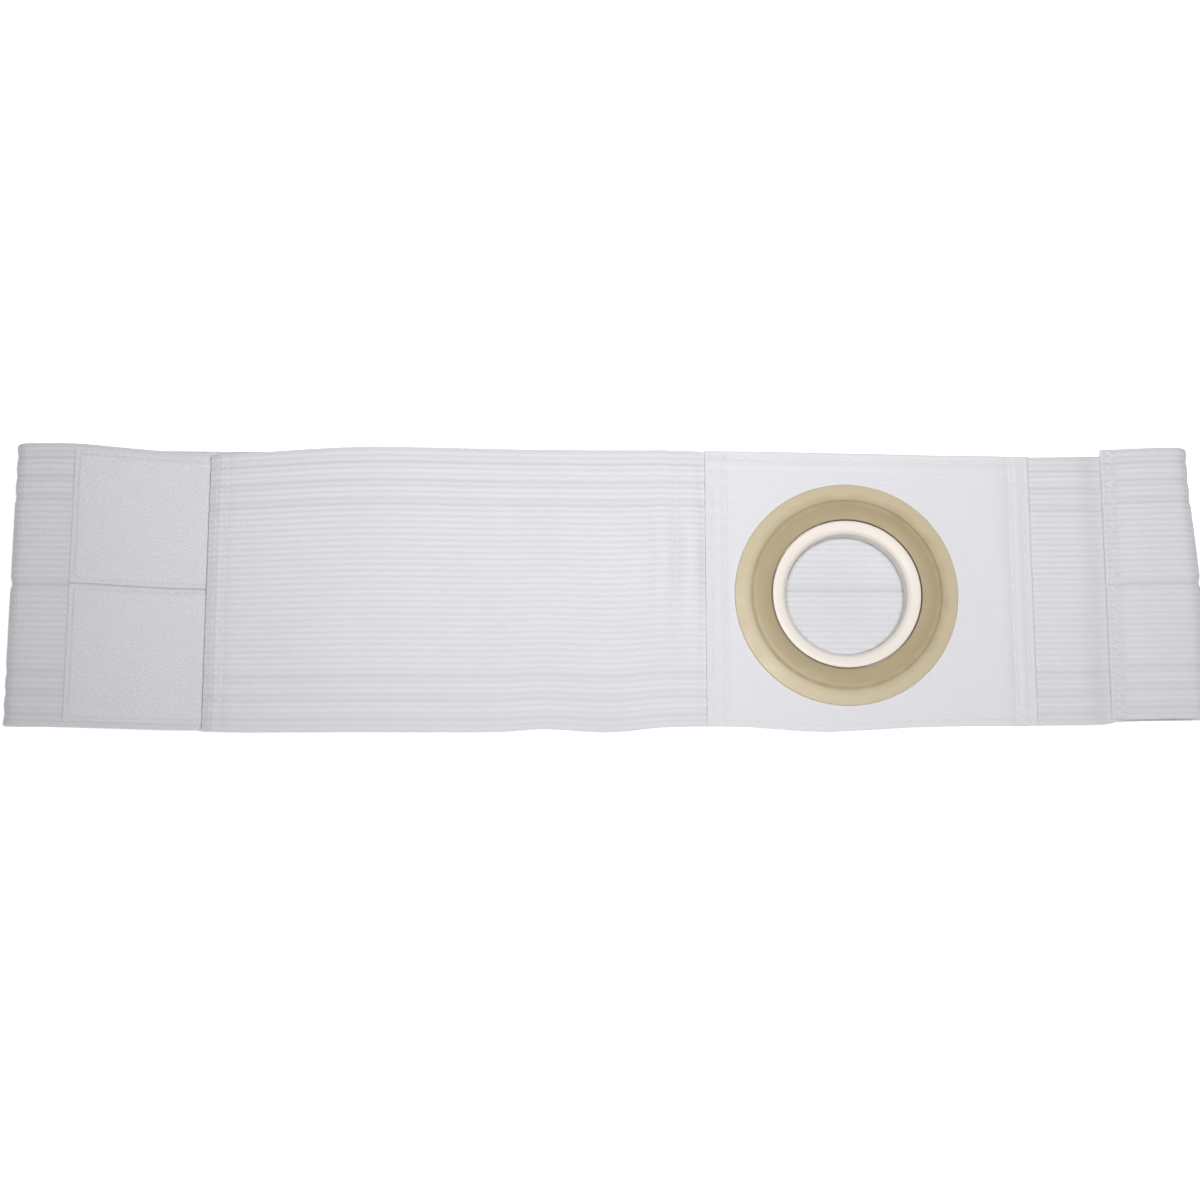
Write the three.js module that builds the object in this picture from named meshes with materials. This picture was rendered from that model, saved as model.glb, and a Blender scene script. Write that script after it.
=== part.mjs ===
// Ostomy support belt: an elastic belt with a ring for a pouch, fastened into a loop and lying flat.
// Millimetres, +Z up. X runs along the flattened belt, Y across it, and Z = 0 is the surface it lies on.
// The origin is under the middle of the belt.

import * as THREE from 'three';

// Cloth thicknesses, and the air left between pieces that lie on each other
const ELASTIC_THICKNESS = 2.2;
const PANEL_THICKNESS = 1.6;
const TAPE_THICKNESS = 1.2;
const LAYER_GAP = 0.3;

// The flattened loop, from fold to fold, and the mean radius of each fold
const FLAT_LEFT = -218;
const FLAT_RIGHT = 218;
const LEFT_FOLD_RADIUS = 4.0;
const RIGHT_FOLD_RADIUS = 5.25;

// Where the pieces begin and end along X
const CLOSURE_EDGE_X = -144;
const CLOSURE_END_X = -104;
const PATCH_LEFT_X = -195;
const HOOK_LEFT_X = -140;
const HOOK_RIGHT_X = -108;
const PANEL_LEFT_X = 37;
const PANEL_RIGHT_X = 155;
const SEAM_LAP = 9;
const SIDE_END_X = 200;
const LAP_EDGE_X = 182;

// Levels of the cloth's middle surface
const BACK_LEVEL = ELASTIC_THICKNESS / 2;
const FRONT_LEVEL = BACK_LEVEL + 2 * LEFT_FOLD_RADIUS;
const LAP_LEVEL = BACK_LEVEL + 2 * RIGHT_FOLD_RADIUS;
const PATCH_LEVEL = FRONT_LEVEL + ELASTIC_THICKNESS / 2 + LAYER_GAP + TAPE_THICKNESS / 2;
const HOOK_LEVEL = PATCH_LEVEL + TAPE_THICKNESS + LAYER_GAP;
const CLOSURE_LEVEL = HOOK_LEVEL + TAPE_THICKNESS / 2 + LAYER_GAP + ELASTIC_THICKNESS / 2;
const PANEL_BOTTOM = FRONT_LEVEL + ELASTIC_THICKNESS / 2 + LAYER_GAP;
const PANEL_TOP = PANEL_BOTTOM + PANEL_THICKNESS;

// Grooves between the elastic's cords: distance in from each long edge, half width and depth
const RIB_GROOVES = [
  { inset: 4.6, half: 1.4, depth: 0.45 },
  { inset: 11.9, half: 1.5, depth: 0.45 },
  { inset: 19.4, half: 1.5, depth: 0.45 },
];
const MIDDLE_GROOVE = { half: 1.3, depth: 0.4 };
const EDGE_ROUND = 0.6;

// Long edges of the front elastic, with a row where its outline changes
const FRONT_ROWS = [
  { x: -144, top: 47.6, bottom: -53.0 },
  { x: -130, top: 48.5, bottom: -53.4 },
  { x: -86, top: 51.0, bottom: -53.2 },
  { x: -38, top: 51.0, bottom: -53.0 },
  { x: -22, top: 50.9, bottom: -52.0 },
  { x: 2, top: 50.8, bottom: -53.0 },
  { x: 22, top: 50.7, bottom: -51.3 },
  { x: 46, top: 49.8, bottom: -51.0 },
];
const FRONT_STEPS = 24;

// The front elastic comes down from the closure to the level of the rest between these two places
const RAMP_START_X = -108;
const RAMP_END_X = -16;

// Gathers where the elastic is sewn to the panel: crest spacing, height and how far they run from the seam
const GATHER = { pitch: 11, height: 1.1, reach: 33 };
const GATHER_STEPS = 12;

// Long edges of the side elastic
const SIDE_ROWS = [
  { x: 146, top: 47.8, bottom: -50.9 },
  { x: 158, top: 48.0, bottom: -50.7 },
  { x: 182, top: 48.1, bottom: -50.3 },
  { x: 200, top: 48.2, bottom: -50.1 },
];
const SIDE_STEPS = 6;

// Long edges of the back elastic, by the length of tape from its sewn end at the right lap
const BACK_ROWS = [
  { along: 0, top: 50.4, bottom: -49.6 },
  { along: 29, top: 51.2, bottom: -49.6 },
  { along: 46, top: 50.6, bottom: -49.9 },
  { along: 110, top: 50.0, bottom: -50.0 },
  { along: 260, top: 51.0, bottom: -50.2 },
  { along: 470, top: 53.0, bottom: -50.7 },
  { along: 483, top: 53.5, bottom: -50.9 },
  { along: 501, top: 53.4, bottom: -51.3 },
  { along: 522, top: 51.5, bottom: -51.9 },
  { along: 540, top: 50.1, bottom: -52.4 },
  { along: 592, top: 48.8, bottom: -52.8 },
];
const BACK_RUN_STEPS = 14;
const FOLD_STEPS = 12;
const LEFT_RUN_STEPS = 8;
const LAP_RUN_STEPS = 3;

// Tape strips on the closure: margins from the elastic's edges and the seam between the two loop strips
const PATCH_MARGIN = 2.2;
const PATCH_SEAM = 0.5;
const HOOK_MARGIN = 7;
const TAPE_STEPS = 7;
const TAPE_EDGE_ROUND = 0.35;

// Outline of the ring panel
const PANEL_TOP_ROWS = [
  { x: 37, y: 50.2 },
  { x: 70, y: 49.6 },
  { x: 115, y: 48.5 },
  { x: 155, y: 47.9 },
];
const PANEL_BOTTOM_ROWS = [
  { x: 37, y: -51.1 },
  { x: 52, y: -51.4 },
  { x: 76, y: -53.0 },
  { x: 90, y: -52.6 },
  { x: 115, y: -51.3 },
  { x: 155, y: -50.8 },
];
const PANEL_EDGE_ROUND = 0.4;
const OUTLINE_POINTS = 14;

// The pouch ring: a tan flange on the front and an ivory collar through the panel
const RING_X = 87.4;
const RING_Y = -3.4;
const FLANGE_OUTER_RADIUS = 40.4;
const FLANGE_STEP_RADIUS = 34.2;
const FLANGE_INNER_RADIUS = 27.2;
const FLANGE_SKIRT_HEIGHT = 1.1;
const FLANGE_HEIGHT = 2.3;
const FLANGE_ROUND = 0.7;
const FLANGE_CROWN = 0.15;
const COLLAR_OUTER_RADIUS = 26.8;
const COLLAR_INNER_RADIUS = 21.8;
const COLLAR_LIP_HEIGHT = 2.1;
const COLLAR_LIP_SLOPE = 1.3;
const COLLAR_ROUND = 0.5;
const COLLAR_BACK_RADIUS = 35;
const COLLAR_BACK_THICKNESS = 1.6;
const PANEL_HOLE_RADIUS = 27.7;
const RING_SEGMENTS = 56;

// Colours
const ELASTIC_COLOUR = 0xe3e3e6;
const PANEL_COLOUR = 0xe6e6ea;
const LOOP_TAPE_COLOUR = 0xd9dade;
const HOOK_TAPE_COLOUR = 0xe0e0e2;
const FLANGE_COLOUR = 0xc3b48c;
const COLLAR_COLOUR = 0xeee4d3;

// A smooth curve through one column of a table, as a function of the column named by key
function smoothColumn(rows, key, name) {
  const curve = new THREE.CubicInterpolant(rows.map((row) => row[key]), rows.map((row) => row[name]), 1);
  return (at) => curve.evaluate(at)[0];
}

// Both long edges of a band as a function of the place along it
function edgesOf(rows, key) {
  const top = smoothColumn(rows, key, 'top');
  const bottom = smoothColumn(rows, key, 'bottom');
  return (at) => ({ top: top(at), bottom: bottom(at) });
}

// A band's cross-section as points fixed to its bottom edge (0), middle (0.5) or top edge (1).
// The points go over the outer face from bottom to top and come back over the inner face.
function bandSection(thickness, round, grooves, outerMiddle, innerMiddle) {
  const half = thickness / 2;
  const corner = half - round;
  const lower = [
    { anchor: 0, shift: 0, lift: corner },
    { anchor: 0, shift: round, lift: half },
  ];
  for (const groove of grooves) {
    lower.push({ anchor: 0, shift: groove.inset - groove.half, lift: half });
    lower.push({ anchor: 0, shift: groove.inset, lift: half - groove.depth });
    lower.push({ anchor: 0, shift: groove.inset + groove.half, lift: half });
  }
  const mirrored = ({ anchor, shift, lift }) => ({ anchor: 1 - anchor, shift: -shift, lift });
  const upper = lower.map(mirrored).reverse();
  const middle = (face) => [
    { anchor: 0.5, shift: -MIDDLE_GROOVE.half, lift: face * half },
    { anchor: 0.5, shift: 0, lift: face * (half - MIDDLE_GROOVE.depth) },
    { anchor: 0.5, shift: MIDDLE_GROOVE.half, lift: face * half },
  ];
  const outer = [...lower, ...(outerMiddle ? middle(1) : []), ...upper];
  const inner = [
    { anchor: 1, shift: 0, lift: -corner },
    { anchor: 1, shift: -round, lift: -half },
    ...(innerMiddle ? middle(-1).reverse() : []),
    { anchor: 0, shift: round, lift: -half },
    { anchor: 0, shift: 0, lift: -corner },
  ];
  return [...outer, ...inner];
}

// A closed band through stations, each with a place (x, z), its outward normal and its two long edges
function loftBand(stations, section) {
  const positions = [];
  for (const { x, z, normal, top, bottom } of stations) {
    for (const { anchor, shift, lift } of section) {
      const y = THREE.MathUtils.lerp(bottom, top, anchor) + shift;
      positions.push(x + normal.x * lift, y, z + normal.y * lift);
    }
  }
  const count = section.length;
  const index = [];
  for (let station = 0; station < stations.length - 1; station += 1) {
    for (let corner = 0; corner < count; corner += 1) {
      const a = station * count + corner;
      const b = station * count + ((corner + 1) % count);
      index.push(a, a + count, b, b, a + count, b + count);
    }
  }
  const lastRing = (stations.length - 1) * count;
  for (const [first, facing] of [[0, -1], [lastRing, 1]]) {
    const { top, bottom } = stations[first / count];
    const contour = section.map(({ anchor, shift, lift }) =>
      new THREE.Vector2(THREE.MathUtils.lerp(bottom, top, anchor) + shift, lift));
    for (const [a, b, c] of THREE.ShapeUtils.triangulateShape(contour, [])) {
      const turn = THREE.ShapeUtils.area([contour[a], contour[b], contour[c]]);
      if (turn * facing > 0) index.push(first + a, first + b, first + c);
      else index.push(first + a, first + c, first + b);
    }
  }
  const geometry = new THREE.BufferGeometry();
  geometry.setAttribute('position', new THREE.Float32BufferAttribute(positions, 3));
  geometry.setIndex(index);
  geometry.computeVertexNormals();
  return geometry;
}

// Places spread evenly from start to end, both included
function spread(start, end, steps) {
  return Array.from({ length: steps + 1 }, (_, i) => THREE.MathUtils.lerp(start, end, i / steps));
}

// Stations of a band that runs along X, with its level and edges given by functions of x
function stationsAlongX(places, level, edges) {
  return places.map((x) => {
    const rise = level(x + 0.5) - level(x - 0.5);
    const normal = new THREE.Vector2(-rise, 1).normalize();
    return { x, z: level(x), normal, ...edges(x) };
  });
}

// Stations along a route of lines and arcs in the XZ plane, with the edges given by length of tape
function stationsAlongRoute(route, edges) {
  const stations = [];
  let lengthBefore = 0;
  for (const { curve, steps } of route) {
    const first = stations.length === 0 ? 0 : 1;
    for (let i = first; i <= steps; i += 1) {
      const place = curve.getPoint(i / steps);
      const tangent = curve.getTangent(i / steps);
      const normal = new THREE.Vector2(-tangent.y, tangent.x);
      const along = lengthBefore + curve.getLength() * (i / steps);
      stations.push({ x: place.x, z: place.y, normal, ...edges(along) });
    }
    lengthBefore += curve.getLength();
  }
  return stations;
}

function cloth(color, roughness = 0.9) {
  return new THREE.MeshStandardMaterial({ color, roughness, metalness: 0 });
}

function named(name, geometry, material) {
  const mesh = new THREE.Mesh(geometry, material);
  mesh.name = name;
  return mesh;
}

// Height of the gathers at x: crests that grow towards the panel's seam, with the last trough at the seam
function gatherHeight(x) {
  const grow = THREE.MathUtils.smoothstep(x, PANEL_LEFT_X - GATHER.reach, PANEL_LEFT_X - GATHER.pitch);
  const crest = (1 - Math.cos((2 * Math.PI * (PANEL_LEFT_X - x)) / GATHER.pitch)) / 2;
  return x < PANEL_LEFT_X ? GATHER.height * grow * crest : 0;
}

function frontElastic() {
  const level = (x) => {
    const down = THREE.MathUtils.smoothstep(x, RAMP_START_X, RAMP_END_X);
    return THREE.MathUtils.lerp(CLOSURE_LEVEL, FRONT_LEVEL, down) + gatherHeight(x);
  };
  const gatherStart = PANEL_LEFT_X - GATHER.reach;
  const places = [
    ...spread(CLOSURE_EDGE_X, gatherStart, FRONT_STEPS),
    ...spread(gatherStart, PANEL_LEFT_X, GATHER_STEPS).slice(1),
    PANEL_LEFT_X + SEAM_LAP,
  ];
  const stations = stationsAlongX(places, level, edgesOf(FRONT_ROWS, 'x'));
  const section = bandSection(ELASTIC_THICKNESS, EDGE_ROUND, RIB_GROOVES, false, false);
  return named('front_elastic', loftBand(stations, section), cloth(ELASTIC_COLOUR));
}

function sideElastic() {
  const places = spread(PANEL_RIGHT_X - SEAM_LAP, SIDE_END_X, SIDE_STEPS);
  const stations = stationsAlongX(places, () => FRONT_LEVEL, edgesOf(SIDE_ROWS, 'x'));
  const section = bandSection(ELASTIC_THICKNESS, EDGE_ROUND, RIB_GROOVES, false, false);
  return named('side_elastic', loftBand(stations, section), cloth(ELASTIC_COLOUR));
}

// Lap at the right, right fold, back, left fold, and the run under the closure
function backRoute() {
  const rightCentre = FLAT_RIGHT - RIGHT_FOLD_RADIUS - ELASTIC_THICKNESS / 2;
  const leftCentre = FLAT_LEFT + LEFT_FOLD_RADIUS + ELASTIC_THICKNESS / 2;
  const run = (fromX, toX, level) =>
    new THREE.LineCurve(new THREE.Vector2(fromX, level), new THREE.Vector2(toX, level));
  const fold = (x, radius, from, to) =>
    new THREE.EllipseCurve(x, BACK_LEVEL + radius, radius, radius, from, to, true);
  const up = Math.PI / 2;
  const down = -Math.PI / 2;
  return [
    { curve: run(LAP_EDGE_X, rightCentre, LAP_LEVEL), steps: LAP_RUN_STEPS },
    { curve: fold(rightCentre, RIGHT_FOLD_RADIUS, up, down), steps: FOLD_STEPS },
    { curve: run(rightCentre, leftCentre, BACK_LEVEL), steps: BACK_RUN_STEPS },
    { curve: fold(leftCentre, LEFT_FOLD_RADIUS, down, up - 2 * Math.PI), steps: FOLD_STEPS },
    { curve: run(leftCentre, CLOSURE_END_X, FRONT_LEVEL), steps: LEFT_RUN_STEPS },
  ];
}

function backElastic() {
  const stations = stationsAlongRoute(backRoute(), edgesOf(BACK_ROWS, 'along'));
  const section = bandSection(ELASTIC_THICKNESS, EDGE_ROUND, RIB_GROOVES, true, true);
  return named('back_elastic', loftBand(stations, section), cloth(ELASTIC_COLOUR));
}

// Long edges of the back elastic's left run as a function of x
function leftRunEdges() {
  const tapeLength = backRoute().reduce((sum, { curve }) => sum + curve.getLength(), 0);
  const edges = edgesOf(BACK_ROWS, 'along');
  return (x) => edges(tapeLength - (CLOSURE_END_X - x));
}

function tapeStrip(name, start, end, level, edges, colour) {
  const stations = stationsAlongX(spread(start, end, TAPE_STEPS), () => level, edges);
  const section = bandSection(TAPE_THICKNESS, TAPE_EDGE_ROUND, [], false, false);
  return named(name, loftBand(stations, section), cloth(colour));
}

function loopPatches() {
  const run = leftRunEdges();
  const middle = (x) => (run(x).top + run(x).bottom) / 2;
  const strips = [
    {
      name: 'loop_patch_upper',
      edges: (x) => ({ top: run(x).top - PATCH_MARGIN, bottom: middle(x) + PATCH_SEAM / 2 }),
    },
    {
      name: 'loop_patch_lower',
      edges: (x) => ({ top: middle(x) - PATCH_SEAM / 2, bottom: run(x).bottom + PATCH_MARGIN }),
    },
  ];
  return strips.map(({ name, edges }) =>
    tapeStrip(name, PATCH_LEFT_X, CLOSURE_END_X, PATCH_LEVEL, edges, LOOP_TAPE_COLOUR));
}

function hookPatch() {
  const front = edgesOf(FRONT_ROWS, 'x');
  const edges = (x) => ({ top: front(x).top - HOOK_MARGIN, bottom: front(x).bottom + HOOK_MARGIN });
  return tapeStrip('hook_patch', HOOK_LEFT_X, HOOK_RIGHT_X, HOOK_LEVEL, edges, HOOK_TAPE_COLOUR);
}

function ringPanel() {
  const inset = PANEL_EDGE_ROUND;
  const topEdge = PANEL_TOP_ROWS.map(({ x, y }) => new THREE.Vector2(x, y - inset));
  const bottomEdge = PANEL_BOTTOM_ROWS.map(({ x, y }) => new THREE.Vector2(x, y + inset));
  const outline = [
    ...new THREE.SplineCurve(bottomEdge).getPoints(OUTLINE_POINTS),
    ...new THREE.SplineCurve(topEdge).getPoints(OUTLINE_POINTS).reverse(),
  ];
  const shape = new THREE.Shape(outline);
  const hole = new THREE.Path();
  hole.absarc(RING_X, RING_Y, PANEL_HOLE_RADIUS + inset, 0, 2 * Math.PI, true);
  shape.holes.push(hole);
  const geometry = new THREE.ExtrudeGeometry(shape, {
    depth: PANEL_THICKNESS - 2 * inset,
    bevelThickness: inset,
    bevelSize: inset,
    bevelSegments: 1,
    curveSegments: RING_SEGMENTS / 2,
  });
  geometry.translate(0, 0, PANEL_BOTTOM + inset);
  return named('ring_panel', geometry, cloth(PANEL_COLOUR));
}

// A ring turned about the pouch ring's upright axis from a closed profile of radius and height
function turnedRing(name, profile, color) {
  const points = [...profile, profile[0]].map(([radius, height]) => new THREE.Vector2(radius, height));
  const geometry = new THREE.LatheGeometry(points, RING_SEGMENTS);
  geometry.rotateX(Math.PI / 2);
  geometry.translate(RING_X, RING_Y, 0);
  return named(name, geometry, cloth(color, 0.45));
}

// A thin skirt outside and a thicker, slightly crowned band inside
function ringFlange() {
  const seat = PANEL_TOP + LAYER_GAP;
  const skirt = seat + FLANGE_SKIRT_HEIGHT;
  const crown = seat + FLANGE_HEIGHT;
  const profile = [
    [FLANGE_INNER_RADIUS, seat],
    [FLANGE_OUTER_RADIUS, seat],
    [FLANGE_OUTER_RADIUS, skirt - FLANGE_ROUND],
    [FLANGE_OUTER_RADIUS - FLANGE_ROUND, skirt - FLANGE_CROWN],
    [FLANGE_STEP_RADIUS + FLANGE_ROUND, skirt],
    [FLANGE_STEP_RADIUS, crown - FLANGE_ROUND],
    [FLANGE_STEP_RADIUS - FLANGE_ROUND, crown - FLANGE_CROWN],
    [(FLANGE_STEP_RADIUS + FLANGE_INNER_RADIUS) / 2, crown],
    [FLANGE_INNER_RADIUS + FLANGE_ROUND, crown - FLANGE_CROWN],
    [FLANGE_INNER_RADIUS, crown - FLANGE_ROUND],
  ];
  return turnedRing('ring_flange', profile, FLANGE_COLOUR);
}

// A back flange behind the panel, a wall through its hole, and a lip that slopes in to the opening
function ringCollar() {
  const backTop = PANEL_BOTTOM - LAYER_GAP;
  const backBottom = backTop - COLLAR_BACK_THICKNESS;
  const lip = PANEL_TOP + LAYER_GAP + COLLAR_LIP_HEIGHT;
  const lipFoot = lip - COLLAR_LIP_SLOPE;
  const profile = [
    [COLLAR_INNER_RADIUS, backBottom + COLLAR_ROUND],
    [COLLAR_INNER_RADIUS + COLLAR_ROUND, backBottom],
    [COLLAR_BACK_RADIUS - COLLAR_ROUND, backBottom],
    [COLLAR_BACK_RADIUS, backBottom + COLLAR_ROUND],
    [COLLAR_BACK_RADIUS - COLLAR_ROUND, backTop],
    [COLLAR_OUTER_RADIUS, backTop],
    [COLLAR_OUTER_RADIUS, lip - COLLAR_ROUND],
    [COLLAR_OUTER_RADIUS - COLLAR_ROUND, lip],
    [COLLAR_INNER_RADIUS + COLLAR_ROUND, lipFoot],
    [COLLAR_INNER_RADIUS, lipFoot - COLLAR_ROUND],
  ];
  return turnedRing('ring_collar', profile, COLLAR_COLOUR);
}

const belt = new THREE.Group();
belt.name = 'ostomy_support_belt';
belt.add(
  backElastic(),
  frontElastic(),
  sideElastic(),
  ringPanel(),
  ...loopPatches(),
  hookPatch(),
  ringFlange(),
  ringCollar(),
);

export default belt;
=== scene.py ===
"""Dresses the ostomy support belt: elastic, ring panel, fastening tapes, ring, stitching and a studio.

The belt is fastened as a loop and lies flat. Lengths in this script are millimetres in the CAD frame, unless
a comment says metres, and a point becomes metres when it is put in a mesh.
"""

import bisect
import math
import random

import bmesh
import bpy
import numpy as np
from mathutils import Matrix, Vector, noise


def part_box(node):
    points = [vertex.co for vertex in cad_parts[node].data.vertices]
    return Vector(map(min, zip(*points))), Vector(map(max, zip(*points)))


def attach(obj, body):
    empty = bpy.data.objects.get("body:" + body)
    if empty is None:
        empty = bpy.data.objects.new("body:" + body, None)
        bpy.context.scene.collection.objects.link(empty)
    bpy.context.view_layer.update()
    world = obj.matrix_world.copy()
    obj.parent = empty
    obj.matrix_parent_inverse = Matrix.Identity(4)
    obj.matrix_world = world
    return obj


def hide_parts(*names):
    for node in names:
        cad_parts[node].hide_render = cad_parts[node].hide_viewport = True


bl_info = {
    "name": "Ostomy Support Belt",
    "version": (1, 0, 0),
    "blender": (4, 5, 0),
    "location": "View3D > Sidebar > Belt",
    "description": "Dresses the packed belt with elastic, tapes, stitching and its ring",
    "category": "Object",
}

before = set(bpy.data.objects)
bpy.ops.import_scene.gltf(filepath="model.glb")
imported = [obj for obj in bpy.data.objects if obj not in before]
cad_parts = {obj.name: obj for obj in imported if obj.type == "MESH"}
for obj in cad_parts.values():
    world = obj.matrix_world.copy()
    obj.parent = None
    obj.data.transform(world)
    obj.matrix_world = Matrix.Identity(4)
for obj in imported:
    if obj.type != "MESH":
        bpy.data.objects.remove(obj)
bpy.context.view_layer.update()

MM = 0.001


def node_box(node):
    """A CAD node's lowest and highest corners in millimetres."""
    low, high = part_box(node)
    return Vector(low) / MM, Vector(high) / MM


# Places and levels taken from the frame
FRONT_LOW, FRONT_HIGH = node_box("front_elastic")
SIDE_LOW, SIDE_HIGH = node_box("side_elastic")
BACK_LOW, BACK_HIGH = node_box("back_elastic")
PANEL_LOW, PANEL_HIGH = node_box("ring_panel")
LOOP_LOW, LOOP_HIGH = node_box("loop_patch_upper")
HOOK_LOW, HOOK_HIGH = node_box("hook_patch")
FLANGE_LOW, FLANGE_HIGH = node_box("ring_flange")
COLLAR_LOW, COLLAR_HIGH = node_box("ring_collar")

ELASTIC_HALF = (SIDE_HIGH.z - SIDE_LOW.z) / 2
FRONT_LEVEL = SIDE_LOW.z + ELASTIC_HALF
CLOSURE_LEVEL = FRONT_HIGH.z - ELASTIC_HALF
LAP_LEVEL = BACK_HIGH.z - ELASTIC_HALF
BACK_LEVEL = BACK_LOW.z + ELASTIC_HALF
LEFT_RADIUS = (FRONT_LEVEL - BACK_LEVEL) / 2
RIGHT_RADIUS = (LAP_LEVEL - BACK_LEVEL) / 2
LEFT_TURN_X = BACK_LOW.x + ELASTIC_HALF + LEFT_RADIUS
RIGHT_TURN_X = BACK_HIGH.x - ELASTIC_HALF - RIGHT_RADIUS
CLOSURE_X = FRONT_LOW.x
FRONT_END_X = FRONT_HIGH.x
TAPE_LEFT_X = LOOP_LOW.x
TAPE_END_X = LOOP_HIGH.x
RING_X = (FLANGE_LOW.x + FLANGE_HIGH.x) / 2
RING_Y = (FLANGE_LOW.y + FLANGE_HIGH.y) / 2

# The belt's outlines, as (place along the belt, upper edge, lower edge)
LAP_EDGE_X = 182.0
FRONT_EDGES = [
    (-144, 47.6, -53.0), (-130, 48.5, -53.4), (-86, 51.0, -53.2), (-38, 51.0, -53.0),
    (-22, 50.9, -52.0), (2, 50.8, -53.0), (22, 50.7, -51.3), (46, 49.8, -51.0),
]
SIDE_EDGES = [
    (146, 47.8, -50.9), (158, 48.0, -50.7), (180, 48.1, -50.3), (187, 48.1, -48.8), (200, 48.2, -48.4),
]
BACK_EDGES = [
    (0, 50.4, -48.6), (29, 51.2, -48.3), (46, 50.6, -48.5), (70, 50.3, -48.9), (110, 50.0, -50.0),
    (260, 51.0, -50.2), (470, 53.0, -50.7), (483, 53.5, -50.9), (501, 53.4, -51.3), (522, 51.5, -51.9),
    (540, 50.1, -52.4), (592, 48.8, -52.8),
]
PANEL_EDGES = [
    (37, 50.2, -51.1), (52, 49.9, -51.4), (76, 49.4, -53.0), (90, 49.1, -52.6), (115, 48.5, -51.3),
    (155, 47.9, -50.8),
]

# Elastic: three grooves near each long edge, each as (inset from the edge, half width, depth)
BAND_WIDTH = 102.0
RIB_GROOVES = [(4.6, 1.4, 0.32), (11.9, 1.5, 0.32), (19.4, 1.5, 0.32)]
MIDDLE_GROOVE = (BAND_WIDTH / 2, 1.4, 0.5)
EDGE_ROUND = 0.7
ROW_STEP = 0.44
YARN_PITCH = 1.3
RIM_STEPS = (0.0, 0.07, 0.22, 0.45, 0.75)
RIB_MEAN = 0.64
SLOPE_STEP = 0.4

# Front elastic: its run down to the panel, its free ripples and its puckers beside the panel
RAMP_X = (-108.0, -16.0)
FRONT_LIFTS_X = (-104.0, -70.0)
FRONT_LANDS_X = (10.0, 32.0)
FRONT_RIPPLE = 0.45
FRONT_RIPPLE_SIZE = 46.0
GATHER_PITCH = 11.0
GATHER_HEIGHT = 3.0
GATHER_REACH = 33.0
GATHER_SOFTNESS = 0.12
GATHER_Y = 8.0
GATHER_SPREAD = 24.0
GATHER_LEAST = 0.25
GATHER_DRIFT = 1.3
GATHER_DRIFT_SIZE = 26.0
CLOSURE_DROOP = 1.65
CLOSURE_DROOP_RUN = 4.4

# Seams, as places in from the end that they hold, and the sewn lap at the right
SEAM_DIP = 0.3
SEAM_HALF = 1.4
CLOSURE_SEAMS = (2.6, 6.6)
LAP_SEAMS = (3.4,)
# The lap's press also darkens the elastic's colour as painted shade
LAP_PRESS = 0.5
LAP_PRESS_HALF = 6.0
FOLD_SLANT = 2.7
FOLD_SLANT_X = (192.0, 216.0)
FOLD_SLANT_Y = (-6.0, 46.0)

# Panel: pairs are distances from an edge or the hole, between which a form fades in
PANEL_HALF = (PANEL_HIGH.z - PANEL_LOW.z) / 2
PANEL_LEVEL = PANEL_LOW.z + PANEL_HALF
PANEL_SINK = 0.25
PANEL_SEWN = (8.0, 13.0)
PANEL_HOLE_RADIUS = 27.7
PANEL_RING_HOLD = (13.0, 26.0)
PANEL_SIDE_HOLD = (6.0, 16.0)
PANEL_RIPPLE = 0.4
PANEL_RIPPLE_SIZE = 24.0
PUCKER_HEIGHT = 0.1
PUCKER_PITCH = 5.6
PUCKER_REACH = (3.0, 15.0)
PUCKER_DRIFT = 2.0
PUCKER_DRIFT_SIZE = 15.0
PANEL_HEM = 7.0
HEM_RISE = 0.2
HEM_SLOPE = 1.2
PANEL_SEAMS = (2.4, 7.2)
PANEL_SIDE_STEPS = 96
PANEL_REACH = 50.0
PANEL_REACH_STEPS = 64

# Ring
FLANGE_STEP_RADIUS = 34.2
FLANGE_INNER_RADIUS = 27.2
FLANGE_SKIRT = 1.1
FLANGE_FOOT = 0.5
FLANGE_SHOULDER = 0.4
FLANGE_CROWN = 0.15
COLLAR_TUBE_RADIUS = 26.8
COLLAR_INNER_RADIUS = 21.8
COLLAR_FLARE = 0.3
COLLAR_RIM = 0.1
COLLAR_LIP_OUT = 1.2
COLLAR_LIP_IN = 1.3
COLLAR_LIP_DIP = 0.3
COLLAR_LIP_SLOPE = 1.3
COLLAR_BACK_THICKNESS = 1.6
TAN_CHANGE = (34.8, 5.0)
IVORY_CHANGE = (24.3, 3.0)
RING_STEPS = 192

# Tapes, their loops and their hooks
TAPE_MARGIN = 2.2
TAPE_GAP = 0.5
TAPE_SINK = 0.25
TAPE_BASE = 1.0
TAPE_SELVEDGE = 2.4
TAPE_RIM = 3.15
TAPE_RIM_STEP = 0.4
TAPE_STEPS = (2.0, 1.2)
SELVEDGE_DROP = 0.3
SELVEDGE_SLOPE = 0.8
SELVEDGE_SEAM = 1.3
SELVEDGE_SEAM_SHARE = 0.3
PILE_END_X = CLOSURE_X + 6
PILE_JITTER = 0.3
PILE_TURN = 1.4
PILE_LEAN = 1.2
LOOP_RADIUS = 0.08
LOOP_HALF = 0.36
LOOP_TIP = 0.14
LOOP_RISE = 0.32
LOOP_ROOT = 0.05
HOOK_BASE = 0.75
HOOK_INSET = 2.0
HOOK_RADIUS = 0.1
HOOK_BEND = 0.26
HOOK_TURN = math.radians(200)
HOOK_STEM = 0.72
HOOK_TIP = 0.2
HOOK_ROOT = 0.04

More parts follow.
